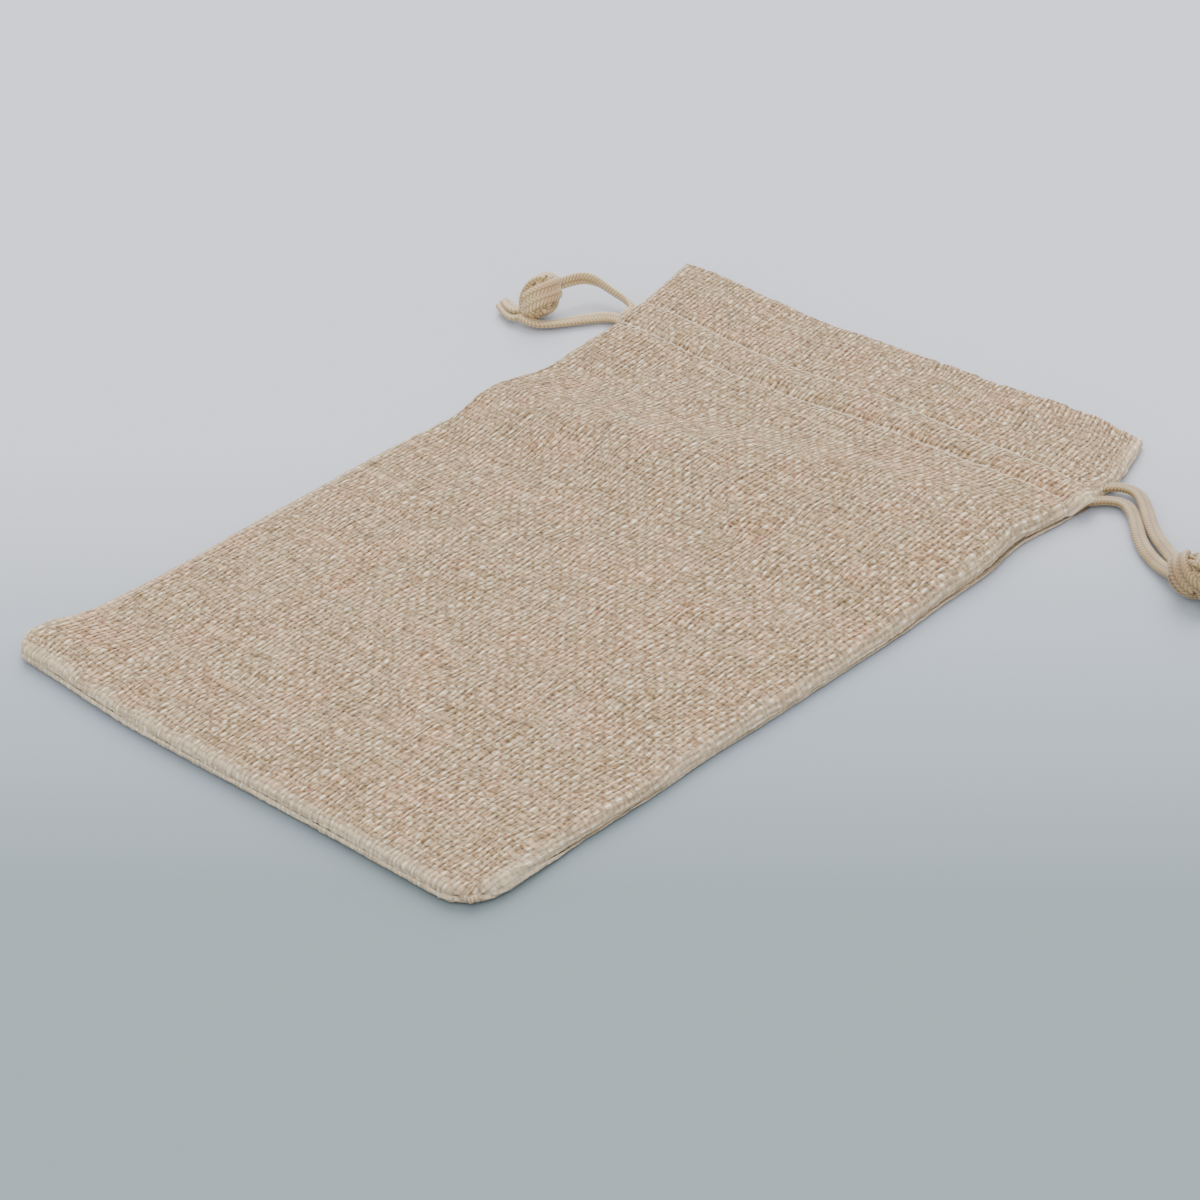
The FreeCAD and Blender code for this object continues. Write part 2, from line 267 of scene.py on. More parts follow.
def plan(u, v):
    """Where a point of the flat cloth lies, seen from above."""
    roll = 1.5
    left_share = (np.clip(HALF_U - u, 0, None) / (2 * HALF_U)) ** 2
    right_share = (np.clip(HALF_U + u, 0, None) / (2 * HALF_U)) ** 2
    x = (u + left_share * (left_place(v) + HALF_U - roll)
         + right_share * (right_place(v) - HALF_U + roll))
    corner_pull = 4.2 * bump(v, -83, 6) * np.exp(-(u + HALF_U) / 13)
    x = x - corner_pull
    along = (v - LOW_V) / (HIGH_V - LOW_V)
    y = (v - bottom_drop(u) * (1 - along) - mouth_drop(u) * along
         + 0.16 * small_wave(u, 90) * along ** 6)
    return x, y


def lower_row(u):
    return np.full_like(u, LOWER_ROW_V)


def upper_row(u):
    """The upper sewn row runs a little crooked: it nears the lower one at the right."""
    return UPPER_ROW_V - 0.3 - 2.4 * smooth((u + 5) / 65)


def front_height(u, v):
    """Height of the front layer's outer face: its crown, the ridge below the channel, soft waves,
    and the furrows of the two sewn rows."""
    side = np.clip(np.abs(u) / HALF_U, 0, 1)
    across = (1 - side ** 3.2) ** 0.9
    edge = np.where(u < 0, left_height(v), right_height(v))
    z = edge + (middle_height(v) - edge) * across
    ridge_v = 37.5 + 0.185 * u + 1.6 * np.sin(u / 19)
    past_ridge = v - ridge_v
    spread = np.where(past_ridge < 0, 22.0 + 12.0 * u / HALF_U, 9.0)
    ridge_height = 3.3 + 0.35 * np.sin(u / 23 + 1)
    z = z + ridge_height * np.exp(-(past_ridge / spread) ** 2) * (0.3 + 0.7 * across)
    body = smooth((v + 86) / 20) * smooth((60 - v) / 12)
    z = z + body * across * (0.35 * wide_wave(u, v) + 0.10 * small_wave(u, v))
    head = smooth((v - 58) / 6)
    z = z + head * (0.22 * wide_wave(u * 1.4, v) + 0.08 * small_wave(u, v))
    z = z - 0.45 * (bump(v, LOWER_ROW_V, 1.0) + bump(v, upper_row(u), 1.0))
    return z


def drift(seed, narrow, wide, count=18):
    """A random field for threads: it changes over narrow lengths across them, wide along them."""
    rng = np.random.default_rng(seed)
    a = rng.uniform(*narrow, count) * rng.choice([-1, 1], count)
    b = rng.uniform(*wide, count)
    phase = rng.uniform(0, 2 * math.pi, count)

    def value(across, along):
        return sum(np.sin(2 * math.pi * (across / p + along / q) + r)
                   for p, q, r in zip(a, b, phase)) / math.sqrt(count)
    return value


warp_drift = drift(21, (2.6, 6.5), (22, 80))
weft_drift = drift(22, (2.6, 6.5), (18, 60))
warp_bend = drift(23, (12, 50), (9, 24))
weft_bend = drift(24, (12, 50), (9, 24))


def thread_places(u, v, lot):
    """Where a point of the cloth lies among its uneven, slightly wandering threads."""
    across = u + 0.17 * warp_drift(u + lot, v) + 0.30 * warp_bend(u, v + lot)
    along = v + 0.20 * weft_drift(v + lot, u) + 0.34 * weft_bend(v, u + lot)
    return across, along


def weave_height(u, v):
    """A plain weave's face: 1 on a thread's crest, near -1 in the gaps between threads."""
    a = u / PITCH + 2000
    b = v / PITCH + 2000
    fa = a - np.floor(a) - 0.5
    fb = b - np.floor(b) - 0.5
    over = 1 - 2 * ((np.floor(a) + np.floor(b)) % 2)
    warp = 0.5 * (1 - (2 * fa / 0.8) ** 2) + 0.5 * over * np.cos(math.pi * fb) + WARP_STANDS
    weft = 0.5 * (1 - (2 * fb) ** 2) - 0.5 * over * np.cos(math.pi * fa)
    return np.clip(np.maximum(warp, weft), -1, 1)


def round_corners(u, v):
    """Bends the square grid round the bottom corners. Gives u, v, the distance from the edge and
    the way inwards."""
    r = np.where(u < 0, LEFT_CORNER, RIGHT_CORNER)
    a = r - (HALF_U - np.abs(u))
    b = r - (v - LOW_V)
    corner = (a > 0) & (b > 0)
    length = np.sqrt(a * a + b * b) + 1e-9
    shrink = np.maximum(a, b) / length
    sign = np.sign(u)
    near_side = (HALF_U - np.abs(u)) < (v - LOW_V)
    distance = np.minimum(HALF_U - np.abs(u), v - LOW_V)
    in_u = np.where(corner, -sign * a / length, np.where(near_side, -sign, 0.0))
    in_v = np.where(corner, b / length, np.where(near_side, 0.0, 1.0))
    u = np.where(corner, sign * (HALF_U - r + a * shrink), u)
    v = np.where(corner, LOW_V + r - b * shrink, v)
    return u, v, distance, in_u, in_v


def roll_edge(x, y, z, distance, in_x, in_y, radius, turn, down):
    """Rolls the cloth near an edge round to the seam, down for the front layer and up for the
    back one."""
    reach = radius * turn
    angle = np.clip(1 - distance / reach, 0, 1) * turn
    inside = np.clip(reach - distance, 0, None)
    move = inside - radius * np.sin(angle)
    return x + in_x * move, y + in_y * move, z - down * radius * (1 - np.cos(angle))


def layer_points(u, v, height, down, mouth_radius):
    """The smooth middle of a whole layer of cloth, with its rolled sides, bottom and mouth. The
    edges roll down for the front layer (down is 1) and up for the back one (down is -1)."""
    cu, cv, distance, in_u, in_v = round_corners(u, v)
    x, y = plan(cu, cv)
    z = height(cu, cv)
    slit = bump(cv, (LOWER_ROW_V + upper_row(cu)) / 2, 4.0) ** 2
    angle = SEAM_TURN * (1 - 0.5 * slit)
    hidden = np.where(cu < 0, smooth((cv - 2) / 26), smooth((cv + 80) / 18))
    seam = LOW_SEAM_Z + (HIGH_SEAM_Z - LOW_SEAM_Z) * hidden - 0.12 * down
    radius = np.clip(down * (z - seam) / (1 - math.cos(SEAM_TURN)), 0.25, 1.8)
    if down < 0:
        x = x - np.sign(cu) * BACK_DRAWN_IN * hidden * (np.abs(cu) / HALF_U) ** 2
    x, y, z = roll_edge(x, y, z, distance, in_u, in_v, radius, angle, down)
    x, y, z = roll_edge(x, y, z, HIGH_V - v, 0, -1, mouth_radius, math.pi, down)
    return cu, cv, np.stack([x, y, z], -1)


def add_relief(points, u, v, rows, columns, amount, side):
    """Moves a grid's points along its normals by the weave's height, and by each thread's own."""
    p = points.reshape(rows, columns, 3)
    normal = np.cross(np.gradient(p, axis=1), np.gradient(p, axis=0))
    normal /= np.linalg.norm(normal, axis=-1, keepdims=True) + 1e-12
    uneven = 1 + 0.35 * warp_drift(v, u) + 0.3 * weft_drift(u, v)
    height = amount * (weave_height(u, v) * uneven + 0.35 * warp_drift(1.3 * u, v))
    return (p + normal * side * height.reshape(rows, columns, 1)).reshape(-1, 3)


def cloth_grid(half_u, low_v, high_v, per_u, per_v):
    columns = round(2 * half_u / PITCH * per_u) + 1
    rows = round((high_v - low_v) / PITCH * per_v) + 1
    u, v = np.meshgrid(np.linspace(-half_u, half_u, columns), np.linspace(low_v, high_v, rows))
    return u.ravel(), v.ravel(), rows, columns


def back_height(u, v):
    return np.full_like(u, BACK_Z)


def make_front_panel(material):
    u, v, rows, columns = cloth_grid(HALF_U, LOW_V, HIGH_V, 3, 2)
    cu, cv, points = layer_points(u, v, front_height, 1, 0.4)
    tu, tv = thread_places(cu, cv, FRONT_LOT)
    from_edge = np.minimum(HALF_U - np.abs(u), v - LOW_V)
    relief = RELIEF * (1 + 0.35 * bump(from_edge, 1.2, 1.6))
    points = add_relief(points, tu, tv, rows, columns, relief, 1)
    points[:, 2] = np.maximum(points[:, 2], LOWEST_FRONT)
    piece = new_mesh("front_panel_cloth", points, grid_faces(rows, columns))
    set_attribute(piece, "cloth", np.stack([tu, tv, np.full_like(tu, FRONT_LOT)], -1))
    return finish_piece(piece, ["front_panel"], "lens", material)


def make_back_panel(material):
    u, v, rows, columns = cloth_grid(HALF_U, LOW_V, HIGH_V, 2, 2)
    cu, cv, points = layer_points(u, v, back_height, -1, 0.35)
    tu, tv = thread_places(cu, cv, BACK_LOT)
    points = add_relief(points, tu, tv, rows, columns, BACK_RELIEF, -1)
    points[:, 2] = np.maximum(points[:, 2], LOWEST_BACK)
    faces = [f[::-1] for f in grid_faces(rows, columns)]
    piece = new_mesh("back_panel_cloth", points, faces)
    set_attribute(piece, "cloth", np.stack([tu, tv, np.full_like(tu, BACK_LOT)], -1))
    return finish_piece(piece, ["back_panel"], "root", material)


def slab(name, u, v, rows, columns, heights, thickness, lot):
    """A closed piece of cloth over a grid, thickness mm thick below the heights given."""
    x, y = plan(u, v)
    top = np.stack([x, y, heights], -1)
    tu, tv = thread_places(u, v, lot)
    top = add_relief(top, tu, tv, rows, columns, INNER_RELIEF, 1)
    under = top.copy()
    under[:, 2] -= thickness
    n = rows * columns
    faces = grid_faces(rows, columns) + [f[::-1] for f in grid_faces(rows, columns, start=n)]
    grid = np.arange(n).reshape(rows, columns)
    rim = np.concatenate([grid[0], grid[1:, -1], grid[-1, -2::-1], grid[-2:0:-1, 0]])
    after = np.roll(rim, -1)
    faces += np.stack([after, rim, rim + n, after + n], -1).tolist()
    piece = new_mesh(name, np.concatenate([top, under]), faces)
    cloth = np.stack([tu, tv, np.full_like(u, lot)], -1)
    set_attribute(piece, "cloth", np.concatenate([cloth, cloth]))
    return piece


def channel_share(u, v):
    """1 in the cord's channel, between the sewn rows, and 0 outside it."""
    return smooth((v - LOWER_ROW_V) / 1.5) * smooth((upper_row(u) - v) / 1.5)


def front_hem_height(u, v):
    return front_height(u, v) - 0.85 - 1.0 * channel_share(u, v)


def back_hem_height(u, v):
    return BACK_HEM_Z + 1.2 * channel_share(u, v)


def make_hem(name, node, height, lot, body, material):
    half = HALF_U - 3.4
    u, v, rows, columns = cloth_grid(half, HEM_END_V, HIGH_V - 1.0, 2, 2)
    piece = slab(name, u, v, rows, columns, height(u, v), 0.5, lot)
    return finish_piece(piece, [node], body, material)


def make_allowance(side, material):
    """A turned-in seam edge at a side, or at the bottom when side is 0."""
    if side:
        along = np.linspace(LOW_V + 3, HEM_END_V - 1.5, 240)
        across = side * (HALF_U - 3.0 - np.linspace(0, ALLOWANCE - 1, 14))
        if side > 0:
            across = across[::-1]
    else:
        along = np.linspace(LOW_V + 3, LOW_V + 2 + ALLOWANCE, 14)
        across = np.linspace(-HALF_U + 10, HALF_U - 10, 180)
    u, v = np.meshgrid(across, along)
    name = {-1: "left", 0: "bottom", 1: "right"}[side]
    piece = slab(name + "_allowance_cloth", u.ravel(), v.ravel(), len(along), len(across),
                 np.full(u.size, ALLOWANCE_Z), 1.2, ALLOWANCE_LOT + side)
    return finish_piece(piece, [name + "_seam_allowance"], "root", material)


# ---- thread -----------------------------------------------------------------------------
def tube_points(line, section):
    """Rings of a section, a list of (sideways, up) in mm, along a line of points."""
    line = np.asarray(line, float)
    way = unit(np.gradient(line, axis=0))
    sideways = np.cross(np.array([0.0, 0.0, 1.0]), way)
    sideways /= np.linalg.norm(sideways, axis=1, keepdims=True) + 1e-9
    up = np.cross(way, sideways)
    section = np.asarray(section, float)
    return (line[:, None] + sideways[:, None] * section[None, :, :1]
            + up[:, None] * section[None, :, 1:])


def ring(width, height, count):
    t = np.arange(count) / count * 2 * math.pi
    return np.stack([np.cos(t) * width / 2, np.sin(t) * height / 2], -1)


def closed_tube(name, rings):
    rows, columns = rings.shape[:2]
    faces = [f[::-1] for f in grid_faces(rows, columns, wrap=True)]
    first = list(range(columns))
    last = list(range((rows - 1) * columns, rows * columns))
    faces += [first, last[::-1]]
    return new_mesh(name, rings.reshape(-1, 3), faces)


def make_stitch_row(name, node, row, height, body, material):
    """A lockstitch: the thread lies on the cloth and dips into it at each end of a stitch."""
    u = np.arange(-HALF_U + 4.4, HALF_U - 4.4, 0.31)
    v = row(u)
    x, y = plan(u, v)
    y = y + 0.12 * small_wave(u, v)
    dip = np.abs(np.sin(math.pi * u / STITCH)) ** 0.5
    z = height(u, v) - 0.10 + 0.30 * dip
    line = np.stack([x, y, z], -1)
    piece = closed_tube(name, tube_points(line, ring(0.36, 0.26, 8)))
    return finish_piece(piece, [node], body, material)


def make_seam_thread(name, node, points, material):
    """Straight sewing inside the pouch, or the zigzag of an overlocked edge."""
    x, y = plan(points[:, 0], points[:, 1])
    line = np.stack([x, y, points[:, 2]], -1)
    piece = closed_tube(name, tube_points(line, ring(0.4, 0.4, 6)))
    return finish_piece(piece, [node], "root", material)


def zigzag(start, end, inwards, step=1.5):
    """An overlock's path along a raw edge from start to end, in the cloth's u and v."""
    start, end = np.array(start, float), np.array(end, float)
    count = int(np.linalg.norm(end - start) / step * 6)
    t = np.linspace(0, 1, count)[:, None]
    swing = np.arange(count) * math.pi / 3
    base = start + (end - start) * t + np.array(inwards) * (1.1 + 1.1 * np.cos(swing))[:, None]
    return np.column_stack([base, 1.6 + 0.75 * np.sin(swing)])


# ---- cords ------------------------------------------------------------------------------
def route_line(name, route):
    """Points along the route's own smooth curve."""
    data = bpy.data.curves.new(name + "_route", "CURVE")
    data.dimensions = "3D"
    data.resolution_u = 40
    spline = data.splines.new("NURBS")
    spline.points.add(len(route) - 1)
    for point, place in zip(spline.points, route):
        point.co = (place[0] * MM, place[1] * MM, place[2] * MM, 1)
    spline.order_u = 3
    spline.use_endpoint_u = True
    holder = bpy.data.objects.new(name + "_route", data)
    bpy.context.scene.collection.objects.link(holder)
    bpy.context.view_layer.update()
    mesh = bpy.data.meshes.new_from_object(holder)
    points = np.array([v.co for v in mesh.vertices]) / MM
    bpy.data.objects.remove(holder)
    bpy.data.meshes.remove(mesh)
    return even_steps(points, 0.16)


def even_steps(points, step):
    lengths = np.concatenate([[0], np.cumsum(np.linalg.norm(np.diff(points, axis=0), axis=1))])
    places = np.linspace(0, lengths[-1], max(8, int(lengths[-1] / step)))
    return np.stack([np.interp(places, lengths, points[:, k]) for k in range(3)], -1)


def braid_rings(line, width, thickness, twist, faces_out=None, count=28):
    """A flat hollow braid along a line. Each face shows two columns of slanting stitches that meet
    in a herringbone. faces_out gives the way that the flat face looks; without it, upwards."""
    line = np.asarray(line, float)
    along = np.cumsum(np.linalg.norm(np.gradient(line, axis=0), axis=1))
    way = unit(np.gradient(line, axis=0))
    if faces_out is None:
        faces_out = np.tile([0.0, 0.0, 1.0], (len(line), 1))
    side = unit(np.cross(faces_out, way))
    up = np.cross(way, side)
    turn = twist(along / along[-1])
    t = np.arange(count) / count * 2 * math.pi
    cos, sin = np.cos(t), np.sin(t)
    power = 2.5                 # 2 is an ellipse, more is squarer
    rounded = (np.abs(cos) ** power + np.abs(sin) ** power) ** (-1 / power)
    column = np.abs(np.sin(2 * t)) ** 0.7
    stitch = (along[:, None] / BRAID_PITCH + BRAID_SLANT * np.abs(cos)[None]
              + 0.5 * (cos > 0)[None])
    lump = column[None] * (0.45 + 0.55 * np.cos(2 * math.pi * stitch))
    relief = 1 + 0.10 * (lump - 0.4)
    a = cos * rounded * width / 2 * relief
    b = sin * rounded * thickness / 2 * relief
    c, s = np.cos(turn)[:, None], np.sin(turn)[:, None]
    wide, high = a * c - b * s, a * s + b * c
    rings = line[:, None] + side[:, None] * wide[..., None] + up[:, None] * high[..., None]
    braid = np.stack([np.broadcast_to(cos, a.shape),
                      np.broadcast_to(along[:, None], a.shape), lump], -1)
    return rings, braid


def braid_piece(name, line, width=CORD_W, thickness=CORD_T, twist=lambda t: 0 * t,
                faces_out=None):
    rings, braid = braid_rings(line, width, thickness, twist, faces_out)
    piece = closed_tube(name, rings)
    set_attribute(piece, "braid", braid.reshape(-1, 3))
    return piece


def plain_braid(piece, lump):
    """Cord without stitches of its own: one value of the braid at every point. A low value darkens
    it with the braid's painted shade.
    """
    set_attribute(piece, "braid", np.tile([0.3, 0.4, lump], (len(piece.data.vertices), 1)))
    return piece


def join_pieces(name, pieces):
    bpy.ops.object.select_all(action="DESELECT")
    for piece in pieces:
        piece.select_set(True)
    bpy.context.view_layer.objects.active = pieces[0]
    bpy.ops.object.join()
    pieces[0].name = name
    return pieces[0]


def knot_line(shift):
    """A tight knot's lap of cord, wound over and under itself round the knot's own X axis, and the
    way its flat face looks. shift parts the doubled cords."""
    t = np.linspace(0, 2 * math.pi, 400)
    turn = 2 * t + 0.4
    axial = 3.7 * np.sin(3 * t)
    radius = 2.75 * np.sqrt(1 - (axial / 5.2) ** 2) + 0.6 * np.cos(3 * t)
    line = np.stack([axial, radius * 0.96 * np.cos(turn), radius * np.sin(turn)], -1)
    out = np.stack([axial * 0.45, radius * np.cos(turn), radius * np.sin(turn)], -1)
    out = unit(out)
    apart = unit(np.cross(out, np.gradient(line, axis=0)))
    return line + apart * shift, out


def make_knot(name, centre, axis):
    turn = np.array(Vector(axis).normalized().to_track_quat("X", "Z").to_matrix())
    laps = []
    for k, shift in enumerate((-1.0, 1.0)):
        line, out = knot_line(shift)
        line, out = line @ turn.T + np.array(centre), out @ turn.T
        laps.append(braid_piece(name + str(k), line, 2.6, 1.4, faces_out=out))
    laps.append(knot_core(name + "_core", turn, centre))
    return join_pieces(name, laps)


def knot_core(name, turn, centre):
    """The cord inside the knot, seen only between the laps, and darkened there with painted shade.
    """
    t = np.linspace(-1.5, 1.5, 24)
    line = np.stack([4.3 * np.sin(t), 0 * t, 0 * t], -1)
    circle = np.insert(ring(2, 2, 20), 0, 0, axis=1)
    rings = line[:, None] + 2.5 * np.cos(t)[:, None, None] * circle
    return plain_braid(closed_tube(name, rings[::-1] @ turn.T + np.array(centre)), 0.2)


def make_tails(name, routes):
    """The two cut ends: short lengths of braid that open out into loose fibres."""
    parts = []
    rng = np.random.default_rng(len(name))
    for k, route in enumerate(routes):
        line = route_line(name + str(k), route)
        parts.append(braid_piece(name + str(k), line, 2.6, 1.3, twist=lambda t: 0.4 * t))
        end = line[-1]
        way = unit(line[-1] - line[-6])
        for _ in range(FIBRES):
            lean = rng.normal(0, 0.30, 3)
            start = end - way * 0.8 + rng.normal(0, 0.36, 3)
            tip = start + (way + lean) * rng.uniform(1.0, 1.9)
            middle = (start + tip) / 2 + rng.normal(0, 0.25, 3)
            fibre = np.array([start, middle, tip])
            fibre[:, 2] = np.clip(fibre[:, 2], 0.12, 2.6)
            rings = tube_points(even_steps(fibre, 0.4), ring(FIBRE_W, FIBRE_W, 4))
            parts.append(plain_braid(closed_tube(name + "_fibre", rings), 0.6))
    return join_pieces(name, parts)


# ---- materials --------------------------------------------------------------------------
class Net:
    """Short ways to add nodes to a material."""

    def __init__(self, name):
        self.material = bpy.data.materials.new(name)
        self.material.use_nodes = True
        self.tree = self.material.node_tree
        self.shader = self.tree.nodes["Principled BSDF"]

    def put(self, socket, value):
        if isinstance(value, bpy.types.NodeSocket):
            self.tree.links.new(value, socket)
        else:
            socket.default_value = value

    def surface(self, tone, **values):
        """The shader's colour, and values for its other sockets, with _ for the spaces."""
        self.put(self.shader.inputs["Base Color"], tone)
        for name, value in values.items():
            self.shader.inputs[name.replace("_", " ")].default_value = value

    def math(self, operation, a, b=0.0, clamp=False):
        node = self.tree.nodes.new("ShaderNodeMath")
        node.operation = operation
        node.use_clamp = clamp
        for socket, value in zip(node.inputs, (a, b)):
            self.put(socket, value)
        return node.outputs[0]

    def add(self, a, b):
        return self.math("ADD", a, b)

    def subtract(self, a, b, clamp=False):
        return self.math("SUBTRACT", a, b, clamp)

    def multiply(self, a, b, clamp=False):
        return self.math("MULTIPLY", a, b, clamp)

    def divide(self, a, b, clamp=False):
        return self.math("DIVIDE", a, b, clamp)

    def attribute(self, name):
        node = self.tree.nodes.new("ShaderNodeAttribute")
        node.attribute_name = name
        return node.outputs["Vector"]

    def split(self, vector):
        node = self.tree.nodes.new("ShaderNodeSeparateXYZ")
        self.put(node.inputs[0], vector)
        return node.outputs

    def vector(self, x, y, z):
        node = self.tree.nodes.new("ShaderNodeCombineXYZ")
        for socket, value in zip(node.inputs, (x, y, z)):
            self.put(socket, value)
        return node.outputs[0]

    def noise(self, vector, scale, detail=2.0, rough=0.5):
        node = self.tree.nodes.new("ShaderNodeTexNoise")
        self.put(node.inputs["Vector"], vector)
        node.inputs["Scale"].default_value = scale
        node.inputs["Detail"].default_value = detail
        node.inputs["Roughness"].default_value = rough
        return node.outputs[0]

    def random(self, vector):
        node = self.tree.nodes.new("ShaderNodeTexWhiteNoise")
        node.noise_dimensions = "3D"
        self.put(node.inputs["Vector"], vector)
        return node.outputs["Value"]

    def mix(self, share, a, b, mode="MIX"):
        node = self.tree.nodes.new("ShaderNodeMix")
        node.data_type = "RGBA"
        node.blend_type = mode
        self.put(node.inputs["Factor"], share)
        self.put(node.inputs[6], a)
        self.put(node.inputs[7], b)
        return node.outputs[2]

    def ramp(self, value, stops):
        node = self.tree.nodes.new("ShaderNodeValToRGB")
        self.put(node.inputs[0], value)
        elements = node.color_ramp.elements
        for element, (place, colour) in zip(elements, stops):
            element.position, element.color = place, colour
        for place, colour in stops[2:]:
            elements.new(place).color = colour
        return node.outputs[0]

    def bump(self, height, strength, distance):
        node = self.tree.nodes.new("ShaderNodeBump")
        node.inputs["Strength"].default_value = strength
        node.inputs["Distance"].default_value = distance
        self.put(node.inputs["Height"], height)
        self.put(self.shader.inputs["Normal"], node.outputs[0])


def colour(red, green, blue):
    """A colour given as it shows on a screen, 0 to 255."""
    def linear(value):
        value /= 255
        return value / 12.92 if value <= 0.04045 else ((value + 0.055) / 1.055) ** 2.4
    return (linear(red), linear(green), linear(blue), 1.0)


WHITE = colour(255, 255, 255)
WARP_TONES = [colour(246, 220, 187), colour(250, 229, 199),
              colour(251, 235, 209), colour(248, 223, 191)]
WEFT_TONES = [colour(236, 208, 174), colour(230, 203, 167),
              colour(243, 210, 180), colour(243, 219, 186)]
# Painted highlight on the warp's crests.
PAINTED_HIGHLIGHT = colour(255, 246, 224)
# Painted light on the turned edges.
PAINTED_EDGE_LIGHT = colour(250, 230, 196)


def cloth_material():
    """Coarse plain weave: uneven pale warp and slightly darker weft, hairs and fibres along the
    threads, painted grey-brown shade in the pits between them, and bright painted-highlight
    streaks on the warp's crests."""
    net = Net("cloth_weave")
    u, v, lot = net.split(net.attribute("cloth"))
    a = net.add(net.divide(u, PITCH), 2000.0)
    b = net.add(net.divide(v, PITCH), 2000.0)
    column, row = net.math("FLOOR", a), net.math("FLOOR", b)
    fa = net.subtract(net.math("FRACT", a), 0.5)
    fb = net.subtract(net.math("FRACT", b), 0.5)
    parity = net.math("MODULO", net.add(column, row), 2.0)
    over = net.subtract(1.0, net.multiply(parity, 2.0))

    def stretched(across, along, octaves=2.0, rough=0.5):
        place = net.vector(net.multiply(u, across), net.multiply(v, along), lot)
        return net.noise(place, 1.0, octaves, rough)

    def thread_profile(offset, width):
        ratio = net.divide(net.multiply(offset, 2.0), width)
        return net.math("MAXIMUM", net.subtract(1.0, net.multiply(ratio, ratio)), -1.0)

    def crown(offset):
        return net.multiply(net.multiply(over, 0.5),
                        net.math("COSINE", net.multiply(offset, math.pi)))

    warp_streak = stretched(0.8, 0.07)
    weft_streak = stretched(0.07, 0.8)
    warp_width = net.add(0.36, net.multiply(warp_streak, 0.80))
    weft_width = net.add(0.52, net.multiply(weft_streak, 0.80))
    warp = net.add(net.multiply(thread_profile(fa, warp_width), 0.5), crown(fb))
    warp = net.add(warp, WARP_STANDS)
    weft = net.subtract(net.multiply(thread_profile(fb, weft_width), 0.5), crown(fa))
    height = net.math("MAXIMUM", warp, weft)
    is_warp = net.math("GREATER_THAN", warp, weft)

    warp_fibre = stretched(7.0, 0.55, 3.0, 0.7)
    weft_fibre = stretched(0.9, 6.0, 3.0, 0.7)
    fibre = net.mix(is_warp, weft_fibre, warp_fibre)
    hair = stretched(1.9, 0.45, 2.0, 0.6)

    crossing = net.random(net.vector(column, row, lot))
    warp_pick = net.random(net.vector(column, 3.0, lot))
    weft_pick = net.random(net.vector(5.0, row, lot))
    warp_tone = net.ramp(warp_pick, [(0.0, WARP_TONES[0]), (1.0, WARP_TONES[3]),
                                     (0.35, WARP_TONES[1]), (0.7, WARP_TONES[2])])
    weft_tone = net.ramp(weft_pick, [(0.0, WEFT_TONES[0]), (1.0, WEFT_TONES[3]),
                                     (0.4, WEFT_TONES[1]), (0.75, WEFT_TONES[2])])
    tone = net.mix(is_warp, weft_tone, warp_tone)

    patch = net.noise(net.vector(u, v, lot), 0.085, 3.0, 0.6)
    tint = net.ramp(patch, [(0.32, colour(240, 228, 198)), (0.70, colour(255, 224, 208)),
                            (0.45, colour(236, 234, 224)), (0.58, colour(252, 234, 216))])
    tone = net.mix(0.62, tone, tint, "MULTIPLY")

    def darken(share, value, low, high, dark):
        nonlocal tone
        tone = net.mix(share, tone, net.ramp(value, [(low, dark), (high, WHITE)]), "MULTIPLY")

    darken(1.0, warp_streak, 0.30, 0.66, colour(238, 234, 228))
    darken(1.0, weft_streak, 0.32, 0.66, colour(238, 232, 222))
    darken(1.0, crossing, 0.0, 0.9, colour(240, 237, 232))
    darken(1.0, hair, 0.43, 0.55, colour(186, 179, 168))
    darken(1.0, fibre, 0.42, 0.57, colour(216, 211, 203))
    # Painted shade: the weave's low places between the threads are darkened by their height.
    painted_pit_shade = net.ramp(height, [(0.0, colour(122, 116, 102)), (0.80, WHITE),
                              (0.34, colour(214, 209, 198))])
    tone = net.mix(1.0, tone, painted_pit_shade, "MULTIPLY")

    # Painted light: the cloth is painted paler towards the turned edges, as light that wraps round
    # the rolls.
    from_side = net.subtract(HALF_U, net.math("ABSOLUTE", u))
    from_edge = net.math("MINIMUM", from_side, net.subtract(v, LOW_V))
    edge = net.subtract(1.0, net.divide(from_edge, PAINTED_EDGE_LIGHT_WIDTH), clamp=True)
    tone = net.mix(net.multiply(edge, 0.55), tone, PAINTED_EDGE_LIGHT)

    # Painted highlight: thin bright streaks on the lit side of the warp's crests.
    off_crest = net.math("ABSOLUTE", net.add(fa, 0.07))
    crest = net.subtract(1.0, net.multiply(off_crest, 8.5), clamp=True)
    lit = net.multiply(net.subtract(height, 0.45), 2.6, clamp=True)
    strand = net.multiply(net.subtract(hair, 0.46), 6.0, clamp=True)
    painted_highlight_share = net.multiply(net.multiply(crest, lit), net.multiply(is_warp, strand))
    tone = net.mix(net.multiply(painted_highlight_share, 1.9, clamp=True), tone, PAINTED_HIGHLIGHT)
    net.surface(tone, Roughness=0.85, Specular_IOR_Level=0.3, Sheen_Weight=0.1,
                Sheen_Roughness=0.5)

    relief = net.add(net.multiply(height, 0.8),
                      net.add(net.multiply(fibre, 0.5), net.multiply(hair, 1.0)))
    net.bump(relief, 1.0, 0.00044)
    return net.material


def thread_material():
    net = Net("sewing_thread")
    coordinates = net.tree.nodes.new("ShaderNodeTexCoord").outputs["Object"]
    twist = net.noise(coordinates, 2600.0, 2.0)
    tone = net.ramp(twist, [(0.3, colour(178, 158, 128)), (0.7, colour(212, 194, 164))])
    net.surface(tone, Roughness=0.6, Sheen_Weight=0.2)
    net.bump(twist, 0.4, 0.0001)
    return net.material


